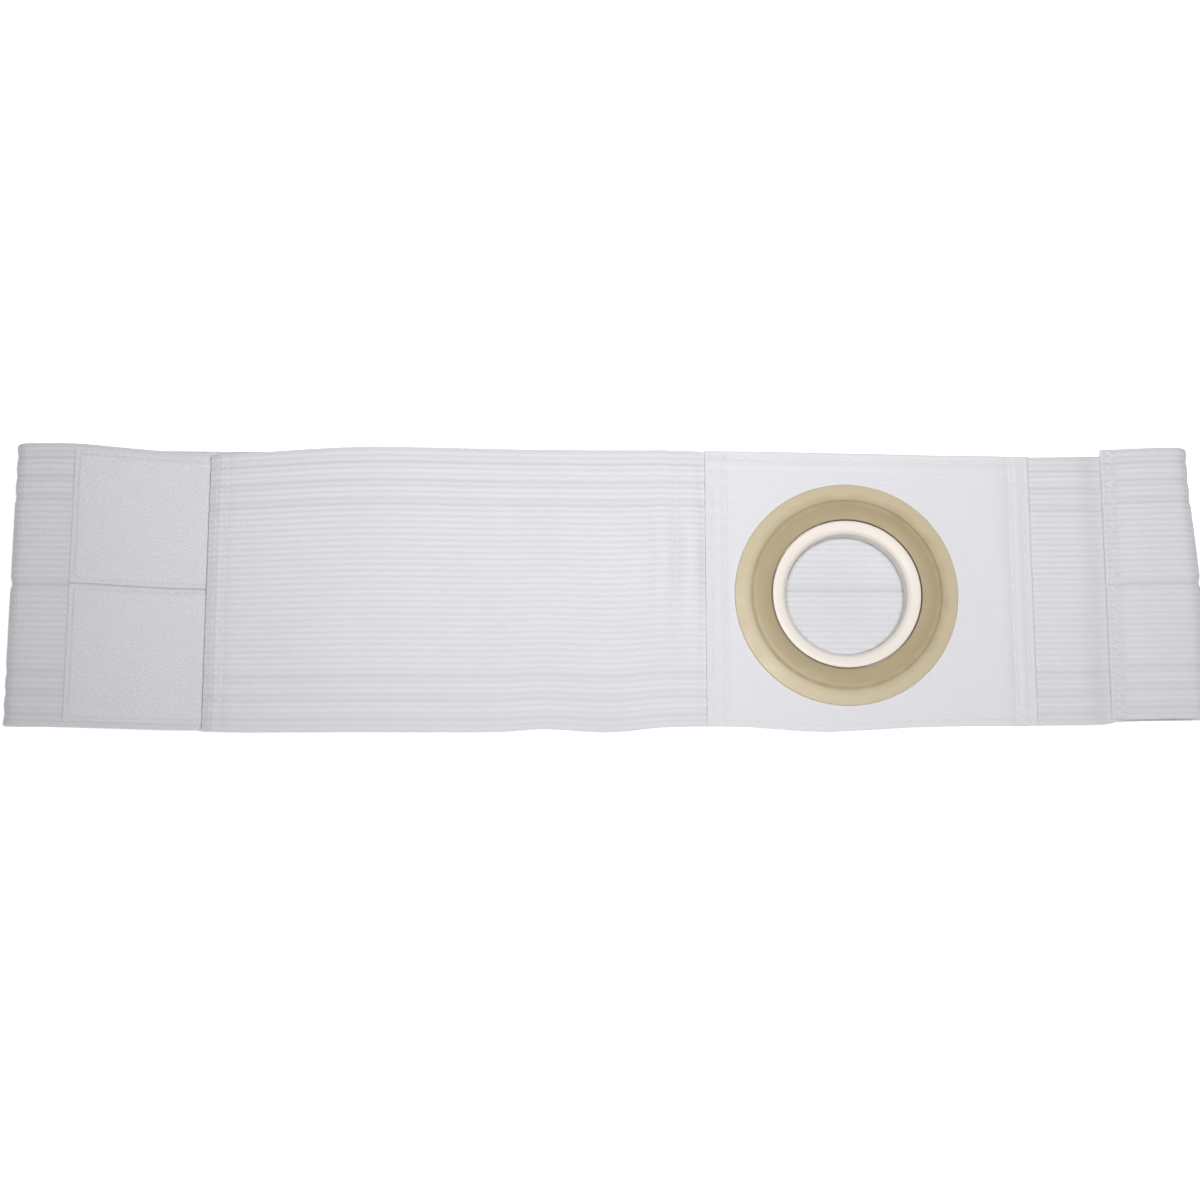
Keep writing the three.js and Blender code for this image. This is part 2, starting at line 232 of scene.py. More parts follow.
# Stitching
STITCH_FILL = 0.86
STITCH_PROBE = 0.8
STITCH_RISE = 0.4
STITCH_ROOT = 0.18
THREAD_LEAN = 0.5
ZIGZAG_FILL = 0.95
LAP_ZIGZAG = (3.2, 1.5)
PANEL_SEAM_INSET = 1.6
CLOSURE_SEAM_INSET = 1.2
SHORT_SEAM_INSET = 1.0
PANEL_HEM_INSET = 9.0
PANEL_HEM_STEP = 10.0
TAPE_EDGE_INSET = 2.0
TAPE_EDGE_STEP = 9.0

# Stage, in metres; a glow is (at the start, at the end) of its reach
KEY_ENERGY = 3.27
KEY_SIZE = 0.12
KEY_PLACE = (0.02, -0.045, 0.50)
KEY_TARGET = (0.088, 0.413, 0.0)
KEY_COLOUR = (1.0, 0.995, 0.99)
FLOOR_HALF = 3.0
FLOOR_DROP = 0.0002
FLOOR_GLOW = (0.52, 0.72)
FLOOR_GLOW_REACH = (0.3, 1.3)
AIR_COLOUR = (0.97, 0.985, 1.0, 1.0)
AIR_GLOW = (0.85, 0.08)
AIR_GLOW_REACH = (0.2, 0.5)

# Camera, as the photo was taken
CAMERA_TARGET = Vector((-1.8, -5.0, 9.0))
CAMERA_ANGLE = math.radians(43.35)


class BeltSettings(bpy.types.PropertyGroup):
    """The belt's changeable sizes and colours."""

    rib_pitch: bpy.props.FloatProperty(
        name="Rib pitch", description="Distance between the fine ribs of the elastic",
        default=2.2 * MM, min=0.5 * MM, unit="LENGTH",
    )
    rib_height: bpy.props.FloatProperty(
        name="Rib height", description="Height of the fine ribs of the elastic",
        default=0.12 * MM, min=0.0, unit="LENGTH",
    )
    stitch_length: bpy.props.FloatProperty(
        name="Stitch length", description="Length of one straight stitch with its gap",
        default=2.8 * MM, min=1.0 * MM, unit="LENGTH",
    )
    thread_radius: bpy.props.FloatProperty(
        name="Thread radius", description="Half the thickness of the sewing thread",
        default=0.24 * MM, min=0.05 * MM, unit="LENGTH",
    )
    pile_spacing: bpy.props.FloatProperty(
        name="Pile spacing", description="Distance between the loops of the loop tape",
        default=0.64 * MM, min=0.4 * MM, unit="LENGTH",
    )
    hook_spacing: bpy.props.FloatProperty(
        name="Hook spacing", description="Distance between the hooks of the hook tape",
        default=1.6 * MM, min=0.8 * MM, unit="LENGTH",
    )
    elastic_colour: bpy.props.FloatVectorProperty(
        name="Elastic", description="Colour of the ribbed elastic", subtype="COLOR",
        default=(0.638, 0.642, 0.674), min=0.0, max=1.0,
    )
    panel_colour: bpy.props.FloatVectorProperty(
        name="Panel", description="Colour of the cloth round the ring", subtype="COLOR",
        default=(0.634, 0.632, 0.662), min=0.0, max=1.0,
    )
    tape_colour: bpy.props.FloatVectorProperty(
        name="Tape", description="Colour of the loop and hook tapes", subtype="COLOR",
        default=(0.680, 0.686, 0.712), min=0.0, max=1.0,
    )
    pile_colour: bpy.props.FloatVectorProperty(
        name="Pile", description="Colour of the loop tape's pile", subtype="COLOR",
        default=(0.822, 0.830, 0.857), min=0.0, max=1.0,
    )
    thread_colour: bpy.props.FloatVectorProperty(
        name="Thread", description="Colour of the sewing thread", subtype="COLOR",
        default=(0.690, 0.690, 0.710), min=0.0, max=1.0,
    )
    tan_colour: bpy.props.FloatVectorProperty(
        name="Tan ring", description="Colour of the ring's raised band", subtype="COLOR",
        default=(0.326, 0.263, 0.149), min=0.0, max=1.0,
    )
    tan_skirt_colour: bpy.props.FloatVectorProperty(
        name="Tan skirt", description="Colour of the ring's thin outer skirt", subtype="COLOR",
        default=(0.486, 0.415, 0.281), min=0.0, max=1.0,
    )
    ivory_colour: bpy.props.FloatVectorProperty(
        name="Ivory collar", description="Colour of the collar inside the ring", subtype="COLOR",
        default=(0.690, 0.640, 0.585), min=0.0, max=1.0,
    )
    camera_distance: bpy.props.FloatProperty(
        name="Camera distance", description="Distance from the camera to the belt",
        default=0.55, min=0.1, unit="LENGTH",
    )
    camera_tilt: bpy.props.FloatProperty(
        name="Camera tilt", description="How far the camera leans from straight above",
        default=math.radians(8), subtype="ANGLE",
    )


# Curves and small shaping functions


def smooth_share(value, start, end):
    """0 before start, 1 after end, and a smooth step between."""
    share = min(max((value - start) / (end - start), 0.0), 1.0)
    return share * share * (3 - 2 * share)


def hump(distance, half):
    """1 at the middle and 0 from twice the half width on, with a soft foot."""
    share = min(abs(distance) / (2 * half), 1.0)
    return (1 + math.cos(math.pi * share)) / 2


def rounded(distance, radius):
    """Height share of a rounded rim, a distance in from its edge."""
    gap = max(1 - distance / radius, 0.0)
    return math.sqrt(max(1 - gap * gap, 0.0))


def ripple(x, y, size, seed):
    """Smooth uneven waves between about -1 and 1, of about the given size."""
    return noise.noise(Vector((x / size, y / size, seed)))


def curve_through(points):
    """A smooth function through (place, value) points."""
    places = [place for place, _ in points]
    values = [value for _, value in points]
    last = len(points) - 1
    slopes = []
    for i in range(last + 1):
        before, after = max(i - 1, 0), min(i + 1, last)
        slopes.append((values[after] - values[before]) / (places[after] - places[before]))

    def value_at(place):
        i = min(max(bisect.bisect_right(places, place) - 1, 0), last - 1)
        step = places[i + 1] - places[i]
        t = min(max((place - places[i]) / step, 0.0), 1.0)
        start = (1 + 2 * t) * (1 - t) ** 2 * values[i] + t * t * (3 - 2 * t) * values[i + 1]
        return start + step * t * (1 - t) * ((1 - t) * slopes[i] - t * slopes[i + 1])

    return value_at


def edges_through(rows):
    """A function that gives the lower and upper edge at a place along the belt."""
    upper = curve_through([(place, top) for place, top, _ in rows])
    lower = curve_through([(place, bottom) for place, _, bottom in rows])
    return lambda place: (lower(place), upper(place))


front_edges = edges_through(FRONT_EDGES)
side_edges = edges_through(SIDE_EDGES)
back_edges = edges_through(BACK_EDGES)
panel_edges = edges_through(PANEL_EDGES)


def steps_between(start, end, step):
    """Even places from start to end, about a step apart, without the last one."""
    count = max(round(abs(end - start) / step), 1)
    return [start + (end - start) * i / count for i in range(count)]


def rimmed(length, *runs):
    """Places along a length, close together at both rims; each run is (place it ends at, step)."""
    places = list(RIM_STEPS)
    start = RIM_STEPS[-1]
    for end, step in (*runs[:-1], (length - RIM_STEPS[-1], runs[-1][1])):
        places += steps_between(start, end, step)[1 if start == RIM_STEPS[-1] else 0:]
        start = end
    return places + [length - step for step in reversed(RIM_STEPS)]


BAND_ROWS = rimmed(BAND_WIDTH, (BAND_WIDTH, ROW_STEP))


# The belt's surfaces


def gather_height(x, y):
    """Puckers in the front elastic beside the panel's seam, highest a little above the middle."""
    start = PANEL_LOW.x
    if x >= start:
        return 0.0
    grow = smooth_share(x, start - GATHER_REACH, start - GATHER_PITCH)
    drift = GATHER_DRIFT * ripple(0, y, GATHER_DRIFT_SIZE, seed=3.1)
    folds = (start - x) * (1 + drift * grow / GATHER_PITCH) / GATHER_PITCH
    crest = math.sqrt(math.sin(math.pi * folds) ** 2 + GATHER_SOFTNESS) - math.sqrt(GATHER_SOFTNESS)
    near = math.exp(-(((y - GATHER_Y) / GATHER_SPREAD) ** 2))
    return GATHER_HEIGHT * grow * crest * (GATHER_LEAST + (1 - GATHER_LEAST) * near)


def front_level(x, y):
    """The front elastic's middle level: its end droops on the loop tapes, then it runs down to the panel."""
    level = CLOSURE_LEVEL + (FRONT_LEVEL - CLOSURE_LEVEL) * smooth_share(x, *RAMP_X)
    level -= CLOSURE_DROOP * (1 - smooth_share(x - CLOSURE_X, -1, CLOSURE_DROOP_RUN))
    free = smooth_share(x, *FRONT_LIFTS_X) * (1 - smooth_share(x, *FRONT_LANDS_X))
    level += FRONT_RIPPLE * free * ripple(x, y, FRONT_RIPPLE_SIZE, seed=0.4)
    return level + gather_height(x, y)


def front_middle(along, y):
    """Point and normal of the front elastic, along from its free end."""
    x = CLOSURE_X + along
    rise = front_level(x + SLOPE_STEP, y) - front_level(x - SLOPE_STEP, y)
    return Vector((x, y, front_level(x, y))), Vector((-rise, 0, 2 * SLOPE_STEP)).normalized()


def lap_press(x):
    """How far the sewn lap is pressed down, most at its edge; the elastic's colour is also darkened by it as
    painted shade.
    """
    return LAP_PRESS * hump(x - LAP_EDGE_X, LAP_PRESS_HALF)


def side_middle(along, y):
    """Point and normal of the side elastic, along from its end under the panel."""
    x = SIDE_LOW.x + along
    return Vector((x, y, FRONT_LEVEL - lap_press(x))), Vector((0, 0, 1))


BACK_RUNS = [
    RIGHT_TURN_X - LAP_EDGE_X,
    math.pi * RIGHT_RADIUS,
    RIGHT_TURN_X - LEFT_TURN_X,
    math.pi * LEFT_RADIUS,
    TAPE_END_X - LEFT_TURN_X,
]
BACK_LENGTH = sum(BACK_RUNS)


def back_middle(along, y):
    """Point and outward normal of the back elastic, along from its sewn end at the right."""
    lap, right_fold, back, left_fold, _ = BACK_RUNS
    if along <= lap:
        x, normal = LAP_EDGE_X + along, Vector((0, 0, 1))
        z = LAP_LEVEL - lap_press(x)
    elif along <= lap + right_fold:
        turn = (along - lap) / RIGHT_RADIUS
        normal = Vector((math.sin(turn), 0, math.cos(turn)))
        x = RIGHT_TURN_X + RIGHT_RADIUS * normal.x
        z = BACK_LEVEL + RIGHT_RADIUS * (1 + normal.z)
    elif along <= lap + right_fold + back:
        x, z, normal = RIGHT_TURN_X - (along - lap - right_fold), BACK_LEVEL, Vector((0, 0, -1))
    elif along <= BACK_LENGTH - BACK_RUNS[-1]:
        turn = (along - lap - right_fold - back) / LEFT_RADIUS
        normal = Vector((-math.sin(turn), 0, -math.cos(turn)))
        x = LEFT_TURN_X + LEFT_RADIUS * normal.x
        z = BACK_LEVEL + LEFT_RADIUS * (1 + normal.z)
    else:
        x, z, normal = TAPE_END_X - (BACK_LENGTH - along), FRONT_LEVEL, Vector((0, 0, 1))
    x -= FOLD_SLANT * smooth_share(x, *FOLD_SLANT_X) * smooth_share(y, *FOLD_SLANT_Y)
    return Vector((x, y, z)), normal


def left_run_edges(x):
    """Lower and upper edge of the back elastic's left run, which carries the loop tapes."""
    return back_edges(BACK_LENGTH - (TAPE_END_X - x))


def rib_relief(across, settings):
    """Height of the elastic's ribs and grooves over its flat face, at a place across the band."""
    pitch, height = settings.rib_pitch / MM, settings.rib_height / MM
    inset = min(across, BAND_WIDTH - across)
    relief = height * (abs(math.sin(math.pi * across / pitch)) - RIB_MEAN)
    for centre, half, depth in RIB_GROOVES:
        relief -= depth * hump(inset - centre, half)
    return relief


def seam_relief(place, seams):
    """How far the cloth dips where rows of stitches pull it down."""
    return -SEAM_DIP * sum(hump(place - seam, SEAM_HALF) for seam in seams)


# Meshes and pieces


def close_shell(bm, gap):
    """Join vertices that are less than a gap apart and turn the faces outwards."""
    bmesh.ops.remove_doubles(bm, verts=bm.verts, dist=gap)
    bmesh.ops.recalc_face_normals(bm, faces=bm.faces)
    if bm.calc_volume(signed=True) < 0:
        bmesh.ops.reverse_faces(bm, faces=bm.faces)


def cloth_slab(columns, rows, place):
    """A closed sheet: an upper and an under grid that meet at their rims.

    place(column, row, side) gives a vertex's point and its weave: along, across and relief.
    """
    bm = bmesh.new()
    weave = bm.verts.layers.float_vector.new("weave")
    for side in (1, -1):
        grid = bmesh.ops.create_grid(bm, x_segments=columns - 1, y_segments=rows - 1, size=0.5)
        for vertex in grid["verts"]:
            column = round((vertex.co.x + 0.5) * (columns - 1))
            row = round((vertex.co.y + 0.5) * (rows - 1))
            point, values = place(column, row, side)
            vertex.co = point * MM
            vertex[weave] = values
    close_shell(bm, 0.01 * MM)
    return bm


def thread_template(sections, sides, radius, path):
    """A short thread along path(share), pointed and closed at both ends, with its strand values."""
    bm = bmesh.new()
    strand = bm.verts.layers.float_vector.new("strand")
    grid = bmesh.ops.create_grid(bm, x_segments=sections, y_segments=sides, size=0.5)
    for vertex in grid["verts"]:
        share, turn = vertex.co.x + 0.5, vertex.co.y + 0.5
        thick = radius * rounded(min(share, 1 - share), 0.3)
        ahead = path(min(share + 0.01, 1.0)) - path(max(share - 0.01, 0.0))
        across = Vector((0, 1, 0))
        up = ahead.cross(across).normalized() * -1
        angle = 2 * math.pi * turn
        vertex.co = path(share) + thick * (math.cos(angle) * across + math.sin(angle) * up)
        vertex[strand] = (share, turn, 0)
    close_shell(bm, radius * 0.01)
    return bm


def scatter(name, template, places, tones):
    """One mesh with a copy of the template at each place, a 4 x 4 matrix in millimetres."""
    template.verts.index_update()
    strand = template.verts.layers.float_vector["strand"]
    corners = np.array([(*vertex.co, 1.0) for vertex in template.verts])
    strands = np.array([vertex[strand] for vertex in template.verts])
    faces = [[vertex.index for vertex in face.verts] for face in template.faces]
    count = len(corners)
    points = np.concatenate([corners @ np.array(place).T for place in places])[:, :3] * MM
    values = np.tile(strands, (len(places), 1))
    values[:, 2] = np.repeat(tones, count)
    mesh = bpy.data.meshes.new(name)
    joined = [[i + copy * count for i in face] for copy in range(len(places)) for face in faces]
    mesh.from_pydata(points.tolist(), [], joined)
    mesh.attributes.new("strand", "FLOAT_VECTOR", "POINT").data.foreach_set("vector", values.ravel())
    template.free()
    return mesh


def lean_normals(mesh, share):
    """Lean the normals of a smooth piece upward, because light passes through strands as thin as these."""
    normals = np.empty(len(mesh.vertices) * 3, dtype=np.float32)
    mesh.vertices.foreach_get("normal", normals)
    leaned = normals.reshape(-1, 3) + np.array((0, 0, share))
    leaned /= np.linalg.norm(leaned, axis=1, keepdims=True)
    mesh.normals_split_custom_set_from_vertices(leaned.tolist())


def mesh_from(name, bm):
    """A mesh from a bmesh, which is freed."""
    mesh = bpy.data.meshes.new(name)
    bm.to_mesh(mesh)
    bm.free()
    return mesh


def add_piece(name, mesh, finish, slot, *nodes):
    """Put a mesh in the scene as a piece that rides on the belt and stands for the named nodes."""
    piece = bpy.data.objects.new(name, mesh)
    bpy.context.scene.collection.objects.link(piece)
    mesh.materials.append(finish)
    mesh.shade_smooth()
    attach(piece, "root")
    if nodes:
        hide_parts(*nodes)
    return piece


# Finishes


class Finish:
    """A material under construction: each call adds a node and returns its output."""

    def __init__(self, tree, shader, constants):
        self.tree = tree
        self.shader = tree.nodes[shader]
        for socket, value in constants.items():
            self.shader.inputs[socket].default_value = value

    @classmethod
    def named(cls, name, constants):
        """A new material with the constants set on its shader."""
        material = bpy.data.materials.new(name)
        material.use_nodes = True
        finish = cls(material.node_tree, "Principled BSDF", constants)
        finish.material = material
        return finish

    def link(self, output, socket):
        """Join an output to one of the shader's sockets."""
        self.tree.links.new(output, self.shader.inputs[socket])

    def add(self, kind, inputs, output=0, **options):
        """Add a node; an input is another node's output or a constant."""
        node = self.tree.nodes.new("ShaderNode" + kind)
        for option, value in options.items():
            setattr(node, option, value)
        for socket, value in inputs.items():
            if isinstance(value, bpy.types.NodeSocket):
                self.tree.links.new(value, node.inputs[socket])
            else:
                node.inputs[socket].default_value = value
        return node.outputs[output]

    def math(self, operation, *values):
        """Arithmetic on outputs and numbers."""
        return self.add("Math", dict(enumerate(values)), operation=operation)

    def times(self, first, second):
        """The product of two outputs or numbers."""
        return self.math("MULTIPLY", first, second)

    def split(self, vector):
        """The three parts of a vector."""
        node = self.tree.nodes.new("ShaderNodeSeparateXYZ")
        self.tree.links.new(vector, node.inputs[0])
        return list(node.outputs)

    def attribute(self, name):
        """Three values that the mesh holds at each vertex."""
        return self.add("Attribute", {}, "Vector", attribute_name=name)

    def object_place(self, scale, location=(0, 0, 0)):
        """Object coordinates, moved and then scaled."""
        place = self.add("TexCoord", {}, "Object")
        moved = self.add("VectorMath", {0: place, 1: location}, operation="SUBTRACT")
        return self.add("VectorMath", {0: moved, "Scale": scale}, operation="SCALE")

    def noise(self, vector, scale, detail=2.0):
        """Soft random tones between 0 and 1."""
        return self.add("TexNoise", {"Vector": vector, "Scale": scale, "Detail": detail})

    def spread(self, value, low, high, from_low=0.0, from_high=1.0):
        """Map a range of values to the range from low to high, and keep it there."""
        inputs = {0: value, 1: from_low, 2: from_high, 3: low, 4: high}
        return self.add("MapRange", inputs)

    def wave(self, value, pitch, phase=0.0):
        """A wave from 0 to 1 with the given pitch."""
        turns = self.math("MULTIPLY_ADD", value, 2 * math.pi / pitch, phase)
        return self.math("MULTIPLY_ADD", self.math("SINE", turns), 0.5, 0.5)

    def blend(self, share, first, second):
        """A colour between two others."""
        colours = {0: share, 6: (*first, 1.0), 7: (*second, 1.0)}
        return self.add("Mix", colours, 2, data_type="RGBA")

    def finish(self, colour, roughness, height, strength, depth):
        """Join colour, roughness and a bump height to the shader, and give the material."""
        bump = {"Height": height, "Strength": strength, "Distance": depth * MM}
        self.link(colour, "Base Color")
        self.link(roughness, "Roughness")
        self.link(self.add("Bump", bump), "Normal")
        return self.material


def shade(colour, share):
    """A colour darkened to a share of itself."""
    return tuple(channel * share for channel in colour)


CLOTH_SHEEN = {"Sheen Weight": 0.12, "Sheen Roughness": 0.5, "Specular IOR Level": 0.25}


def elastic_finish(settings):
    """White elastic: lengthwise knitted ribs, each a row of V stitches, and yarn wrapped round the edges,
    with painted shade in its grooves, seam dips and pressed lap and along its long edges.
    """
    finish = Finish.named("white_elastic", CLOTH_SHEEN)
    along, across, relief = finish.split(finish.attribute("weave"))
    wale = finish.math("FRACT", finish.math("DIVIDE", across, settings.rib_pitch / MM))
    aside = finish.math("ABSOLUTE", finish.math("SUBTRACT", wale, 0.5))
    inset = finish.math("MINIMUM", across, finish.math("SUBTRACT", BAND_WIDTH, across))
    edge = finish.spread(inset, 1.0, 0.0, 0.4, 1.2)
    rib = finish.math("MAXIMUM", finish.math("COSINE", finish.times(aside, math.pi)), edge)
    yarn = finish.wave(along, YARN_PITCH, finish.times(aside, -2.4 * math.pi))
    fuzz = finish.noise(finish.attribute("weave"), 2.3, 4.0)
    weave = finish.times(rib, finish.spread(yarn, 0.45, 1.0))
    height = finish.math("MULTIPLY_ADD", fuzz, 0.3, weave)
    # Painted shade: the colour darkens where the relief dips, in the grooves, the seam dips and the pressed
    # lap.
    painted_cavity_shade = finish.spread(relief, 0.0, 1.0, -0.55, 0.0)
    patchy = finish.noise(finish.attribute("weave"), 0.045, 3.0)
    light = finish.spread(height, 0.55, 1.0, 0.1, 1.1)
    light = finish.times(light, finish.spread(painted_cavity_shade, 0.6, 1.0))
    light = finish.times(light, finish.spread(patchy, 0.93, 1.05, 0.3, 0.7))
    # Painted shade: the colour darkens within a few millimetres of the band's long edges.
    light = finish.times(light, finish.spread(inset, 0.76, 1.0, 0.5, 4.5))
    colour = finish.blend(light, shade(settings.elastic_colour, 0.80), shade(settings.elastic_colour, 1.05))
    return finish.finish(colour, finish.spread(fuzz, 0.78, 0.95), height, 0.9, 0.2)


def panel_finish(settings):
    """Smooth panel cloth: a fine plain weave with slubs, and painted shade in its seam dips."""
    finish = Finish.named("panel_cloth", CLOTH_SHEEN)
    place = finish.object_place(1 / MM)
    x, y, _ = finish.split(place)
    _, _, relief = finish.split(finish.attribute("weave"))
    warp = finish.wave(x, 0.9)
    weft = finish.wave(y, 0.9)
    crossing = finish.times(finish.wave(x, 1.8), finish.wave(y, 1.8))
    over = finish.math("GREATER_THAN", crossing, 0.25)
    threads = finish.math("MULTIPLY_ADD", over, 0.2, finish.math("MAXIMUM", warp, weft))
    drawn_out = finish.add("VectorMath", {0: place, 1: (0.05, 0.9, 0.5)}, operation="MULTIPLY")
    slub = finish.noise(drawn_out, 0.9, 3.0)
    height = finish.math("MULTIPLY_ADD", slub, 0.5, threads)
    # Painted shade: the colour darkens where the seams pull the cloth down.
    painted_cavity_shade = finish.spread(relief, 0.7, 1.0, -0.45, 0.0)
    light = finish.times(finish.spread(height, 0.6, 1.0, 0.3, 1.5), painted_cavity_shade)
    colour = finish.blend(light, shade(settings.panel_colour, 0.82), shade(settings.panel_colour, 1.04))
    return finish.finish(colour, finish.spread(slub, 0.72, 0.92), height, 0.4, 0.1)


def tape_finish(settings):
    """The tapes' cloth: a napped face between tightly woven selvedges."""
    finish = Finish.named("tape_cloth", CLOTH_SHEEN)
    place = finish.object_place(1 / MM)
    x, y, _ = finish.split(place)
    _, _, relief = finish.split(finish.attribute("weave"))
    grain = finish.noise(place, 1.6, 3.0)
    nap = finish.spread(finish.noise(place, 2.6, 4.0), 0.0, 1.2, 0.3, 0.7)
    threads = finish.times(finish.wave(x, 0.7), finish.wave(y, 1.1))
    woven = finish.math("MULTIPLY_ADD", grain, 0.5, threads)
    face = finish.spread(relief, 0.0, 1.0, -0.2, -0.02)
    height = finish.add("Mix", {0: face, 2: woven, 3: nap})
    light = finish.spread(height, 0.3, 1.0, 0.1, 1.2)
    colour = finish.blend(light, shade(settings.tape_colour, 0.86), settings.tape_colour)
    return finish.finish(colour, finish.spread(grain, 0.7, 0.9), height, 0.6, 0.12)


def strand_finish(name, colour, darkest, twist, gloss, sheen=0.1):
    """Yarn or filament: plies wound round it, and a tone of its own for each strand."""
    finish = Finish.named(name, {"Sheen Weight": sheen, "Sheen Roughness": 0.4, "Specular IOR Level": 0.3})
    share, turn, tone = finish.split(finish.attribute("strand"))
    wound = finish.math("MULTIPLY_ADD", share, twist, turn)
    ply = finish.wave(wound, 0.5)
    grain = finish.noise(finish.object_place(1 / MM), 2.5, 2.0)
    light = finish.times(finish.spread(ply, 0.7, 1.0), finish.spread(tone, 0.55, 1.0))
    colours = finish.blend(light, shade(colour, darkest), colour)
    return finish.finish(colours, finish.spread(grain, gloss, gloss + 0.2), ply, 0.4, 0.06)


def plastic_finish(name, inner, outer, radius, width):
    """Moulded plastic: its tone goes from inner to outer at a radius from the ring's middle."""
    finish = Finish.named(name, {"Specular IOR Level": 0.36, "Coat Weight": 0.05, "Coat Roughness": 0.35})
    centre = (RING_X * MM, RING_Y * MM, 0)
    place = finish.object_place(1 / MM, centre)
    flat = finish.add("VectorMath", {0: place, 1: (1, 1, 0)}, operation="MULTIPLY")
    distance = finish.add("VectorMath", {0: flat}, "Value", operation="LENGTH")
    cloud = finish.noise(flat, 0.13, 3.0)
    speck = finish.noise(flat, 1.7, 2.0)
    away = finish.math("MULTIPLY_ADD", finish.math("SUBTRACT", cloud, 0.5), width * 0.8, distance)
    share = finish.spread(away, 0.0, 1.0, radius - width / 2, radius + width / 2)
    mottled = finish.math("MULTIPLY_ADD", finish.math("SUBTRACT", speck, 0.5), 0.18, share)
    colour = finish.blend(mottled, inner, outer)
    grain = finish.noise(finish.object_place(1 / MM), 3.2, 3.0)
    return finish.finish(colour, finish.spread(cloud, 0.44, 0.6, 0.3, 0.7), grain, 0.12, 0.06)


# Elastics


def elastic_mesh(name, stations, length, middle, edges, seams, grooves, settings):
    """A rounded, ribbed elastic over its middle surface; stitches pull it down at the seams."""

    def place(column, row, side):
        along, across = stations[column], BAND_ROWS[row]
        bottom, top = edges(along)
        y = bottom + (top - bottom) * across / BAND_WIDTH
        point, normal = middle(along, y)
        rim = rounded(min(across, BAND_WIDTH - across), EDGE_ROUND)
        rim *= rounded(min(along, length - along), EDGE_ROUND)
        relief = rib_relief(across, settings) + seam_relief(along, seams)
        relief -= sum(depth * hump(across - centre, half) for centre, half, depth in grooves)
        lift = side * rim * (ELASTIC_HALF + relief)
        # The lap's press also goes into the relief that darkens the colour: painted shade beside the lap's
        # edge.
        relief_and_painted_press = relief - lap_press(point.x) * (normal.z > 0.5)
        return point + normal * lift, (along, across, relief_and_painted_press)

    return mesh_from(name, cloth_slab(len(stations), len(BAND_ROWS), place))


class BELT_OT_make_elastics(bpy.types.Operator):
    """Make the three ribbed elastics: front, side and back"""

    bl_idname = "belt.make_elastics"
    bl_label = "Make Elastics"

    def execute(self, context):
        settings = context.scene.support_belt
        finish = elastic_finish(settings)

        length = FRONT_END_X - CLOSURE_X
        gathers = PANEL_LOW.x - GATHER_REACH - CLOSURE_X
        stations = rimmed(length, (7, 0.7), (38, 2.2), (gathers, 2.6), (length, 0.95))
        mesh = elastic_mesh(
            "elastic_front", stations, length, front_middle,
            lambda along: front_edges(CLOSURE_X + along), CLOSURE_SEAMS, (), settings,
        )
        front = add_piece("elastic_front", mesh, finish, "elastic", "front_elastic")

        length = SIDE_HIGH.x - SIDE_LOW.x
        mesh = elastic_mesh(
            "elastic_side", rimmed(length, (length, 1.9)), length, side_middle,
            lambda along: side_edges(SIDE_LOW.x + along), (), (), settings,
        )
        side = add_piece("elastic_side", mesh, finish, "elastic", "side_elastic")

        lap, right_fold, back, left_fold, _ = BACK_RUNS
        turned = lap + right_fold
        stations = rimmed(
            BACK_LENGTH, (lap, 1.9), (turned, 1.1), (turned + back, 5.2),
            (turned + back + left_fold, 1.0), (BACK_LENGTH, 3.2),
        )
        mesh = elastic_mesh(
            "elastic_back", stations, BACK_LENGTH, back_middle, back_edges, LAP_SEAMS, (MIDDLE_GROOVE,),
            settings,
        )
        back = add_piece("elastic_back", mesh, finish, "elastic", "back_elastic")
        return {"FINISHED"}


# Ring panel


def panel_face(x, y):
    """Middle level, half thickness and relief of the panel at a place on it."""
    bottom, top = panel_edges(x)
    sides = min(x - PANEL_LOW.x, PANEL_HIGH.x - x)
    ends = min(y - bottom, top - y)
    hole = math.hypot(x - RING_X, y - RING_Y) - PANEL_HOLE_RADIUS
    sewn = 1 - smooth_share(sides, *PANEL_SEWN)
    level = PANEL_LEVEL - PANEL_SINK * sewn
    free = smooth_share(hole, *PANEL_RING_HOLD) * smooth_share(sides, *PANEL_SIDE_HOLD)
    level += PANEL_RIPPLE * free * ripple(x, y, PANEL_RIPPLE_SIZE, seed=7.7)
    drift = PUCKER_DRIFT * ripple(x, y, PUCKER_DRIFT_SIZE, seed=2.2)
    pucker = math.sin(y * 2 * math.pi / PUCKER_PITCH + drift)
    level += PUCKER_HEIGHT * (1 - smooth_share(sides, *PUCKER_REACH)) * pucker
    relief = seam_relief(sides, PANEL_SEAMS) + seam_relief(ends, PANEL_SEAMS[:1])
    relief += HEM_RISE * (1 - smooth_share(ends, PANEL_HEM - HEM_SLOPE, PANEL_HEM))
    half = PANEL_HALF * rounded(max(min(sides, ends, hole), 0.0), PANEL_HALF)
    return level, half, relief


def panel_outline(count):
    """Points round the panel's edge, counter-clockwise from its lower left corner."""
    left, right = PANEL_LOW.x, PANEL_HIGH.x
    points = [(x, panel_edges(x)[0]) for x in steps_between(left, right, (right - left) / count)]
    low, high = panel_edges(right)
    points += [(right, y) for y in steps_between(low, high, (high - low) / count)]
    points += [(x, panel_edges(x)[1]) for x in steps_between(right, left, (right - left) / count)]
    low, high = panel_edges(left)
    points += [(left, y) for y in steps_between(high, low, (high - low) / count)]
    return [Vector(point) for point in points]


